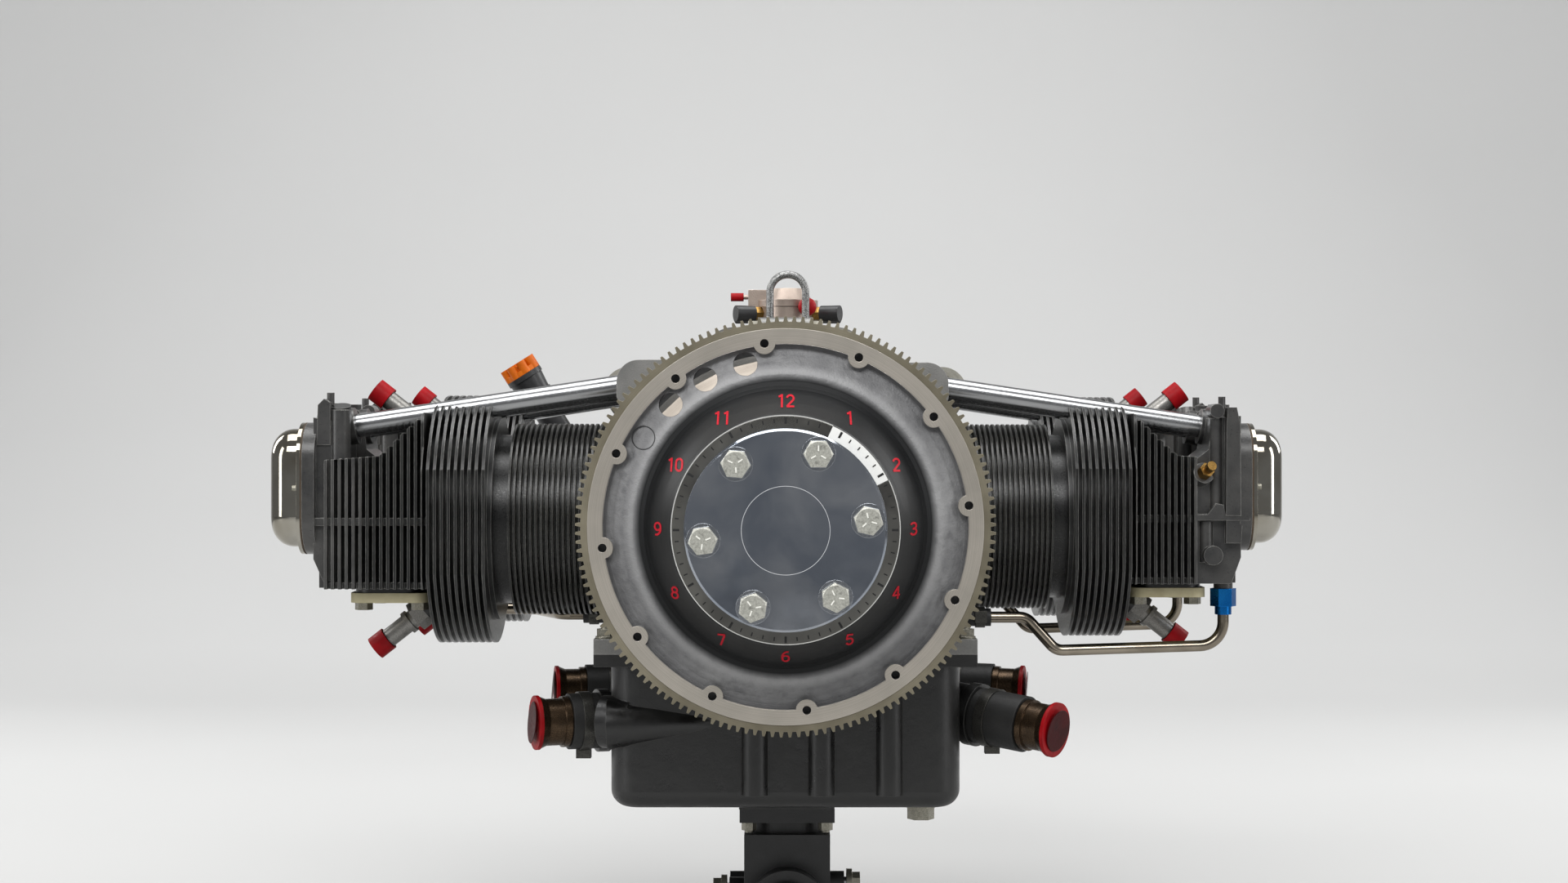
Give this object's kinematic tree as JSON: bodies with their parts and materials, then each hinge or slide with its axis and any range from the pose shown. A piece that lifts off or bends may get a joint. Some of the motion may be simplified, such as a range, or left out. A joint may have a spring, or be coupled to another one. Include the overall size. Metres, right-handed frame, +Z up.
{
  "type": "flat four aircraft engine",
  "caption": "Air cooled horizontally opposed aircraft piston engine with finned cylinders, toothed starter ring, black oil sump and fuel injection.",
  "frame": {"origin": "on the crankshaft axis, in the plane of the starter ring support's machined rim", "axes": "-Y forward along the crankshaft to the propeller, +X to the bank of cylinders 2 and 4, +Z up"},
  "size_m": [0.834, 0.8125, 0.6167],
  "materials": {
    "machined_steel": "turned and ground steel",
    "plated_steel": "zinc plated",
    "polished_plate": "mirror polished",
    "chrome_cover": "bright chrome",
    "tube_steel": "polished",
    "cast_aluminium": "sand cast",
    "support_aluminium": "cast, dark painted dish, machined rim",
    "ring_gear_steel": "hobbed, flame hardened",
    "barrel_steel": "satin dark enamel",
    "head_aluminium": "dark enamelled casting",
    "piston_aluminium": "machined",
    "sump_paint": "satin black",
    "gold_steel": "satin bronze",
    "rubber_black": "matt",
    "red_plastic": "semi gloss",
    "black_plastic": "semi gloss",
    "orange_plastic": "satin",
    "cream_paint": "matt",
    "gasket_fibre": "matt",
    "blue_anodised": "anodised",
    "brass_fitting": "turned",
    "magneto_paint": "semi gloss"
  },
  "bodies": {
    "engine": {"accessory_housing": "cast_aluminium", "barrel_1": "barrel_steel", "barrel_2": "barrel_steel", "barrel_3": "barrel_steel", "barrel_4": "barrel_steel", "cover_screws": "plated_steel", "crankcase_left_half": "cast_aluminium", "crankcase_right_half": "cast_aluminium", "crankshaft_seal": "rubber_black", "cylinder_head_1": "head_aluminium", "cylinder_head_2": "head_aluminium", "cylinder_head_3": "head_aluminium", "cylinder_head_4": "head_aluminium", "divider_cover": "cast_aluminium", "divider_fittings": "brass_fitting", "drain_plug": "plated_steel", "fitting_plugs": "black_plastic", "flow_divider": "cast_aluminium", "fuel_pump": "magneto_paint", "fuel_servo": "cast_aluminium", "hex_nuts": "plated_steel", "hose_clamps": "plated_steel", "injector_nozzles": "brass_fitting", "intake_stubs": "gold_steel", "lifting_eye": "plated_steel", "magnetos": "magneto_paint", "mount_brackets": "plated_steel", "oil_filler_neck": "black_plastic", "oil_return_nuts": "blue_anodised", "oil_return_tubes": "plated_steel", "oil_screen_housing": "cast_aluminium", "oil_sump": "sump_paint", "port_covers": "cream_paint", "protective_caps": "red_plastic", "pushrod_tubes": "tube_steel", "rocker_cover_1": "chrome_cover", "rocker_cover_2": "chrome_cover", "rocker_cover_3": "chrome_cover", "rocker_cover_4": "chrome_cover", "rocker_gaskets": "gasket_fibre", "rubber_hoses": "rubber_black", "spark_plugs": "plated_steel", "sump_bolts": "plated_steel"},
    "crank": {"crankshaft": "machined_steel", "ring_gear_support": "support_aluminium", "starter_ring_gear": "ring_gear_steel", "hub_plate": "polished_plate", "hub_bolts": "plated_steel", "crankshaft_gear": "machined_steel"},
    "idler": {"idler_gear": "machined_steel"},
    "cam": {"camshaft": "machined_steel", "camshaft_gear": "machined_steel"},
    "throttle": {"throttle_shaft": "machined_steel", "throttle_lever": "plated_steel"},
    "mixture": {"mixture_lever": "plated_steel"},
    "filler_cap": {"oil_filler_cap": "orange_plastic"},
    "piston_one": {"piston_1": "piston_aluminium"},
    "piston_two": {"piston_2": "piston_aluminium"},
    "piston_three": {"piston_3": "piston_aluminium"},
    "piston_four": {"piston_4": "piston_aluminium"}
  },
  "joints": [
    {"name": "crank_turn", "type": "hinge", "parent": "engine", "child": "crank", "pos_m": [0, 0, 0], "axis": [0, 1, 0], "continuous": true},
    {"name": "idler_turn", "type": "hinge", "parent": "engine", "child": "idler", "pos_m": [0.03412, 0.6, 0.04186], "axis": [0, 1, 0], "continuous": true},
    {"name": "cam_turn", "type": "hinge", "parent": "engine", "child": "cam", "pos_m": [0, 0.6, 0.112], "axis": [0, 1, 0], "continuous": true},
    {"name": "throttle_turn", "type": "hinge", "parent": "engine", "child": "throttle", "pos_m": [0.0015, 0.3, -0.322], "axis": [1, 0, 0], "range_deg": [-78, 0]},
    {"name": "mixture_turn", "type": "hinge", "parent": "engine", "child": "mixture", "pos_m": [0.0015, 0.27, -0.322], "axis": [1, 0, 0], "range_deg": [-75, 0]},
    {"name": "filler_cap_lift", "type": "slide", "parent": "engine", "child": "filler_cap", "axis": [-0.5279, -0.088, 0.8447], "range_m": [0, 0.078]},
    {"name": "piston_one_slide", "type": "slide", "parent": "engine", "child": "piston_one", "axis": [1, 0, 0], "range_m": [-0.0555, 0.0555]},
    {"name": "piston_two_slide", "type": "slide", "parent": "engine", "child": "piston_two", "axis": [1, 0, 0], "range_m": [-0.0555, 0.0555]},
    {"name": "piston_three_slide", "type": "slide", "parent": "engine", "child": "piston_three", "axis": [1, 0, 0], "range_m": [-0.0555, 0.0555]},
    {"name": "piston_four_slide", "type": "slide", "parent": "engine", "child": "piston_four", "axis": [1, 0, 0], "range_m": [-0.0555, 0.0555]}
  ],
  "couplings": [
    {"joint": "idler_turn", "follows": "crank_turn", "ratio": -0.8},
    {"joint": "cam_turn", "follows": "crank_turn", "ratio": 0.5}
  ]
}
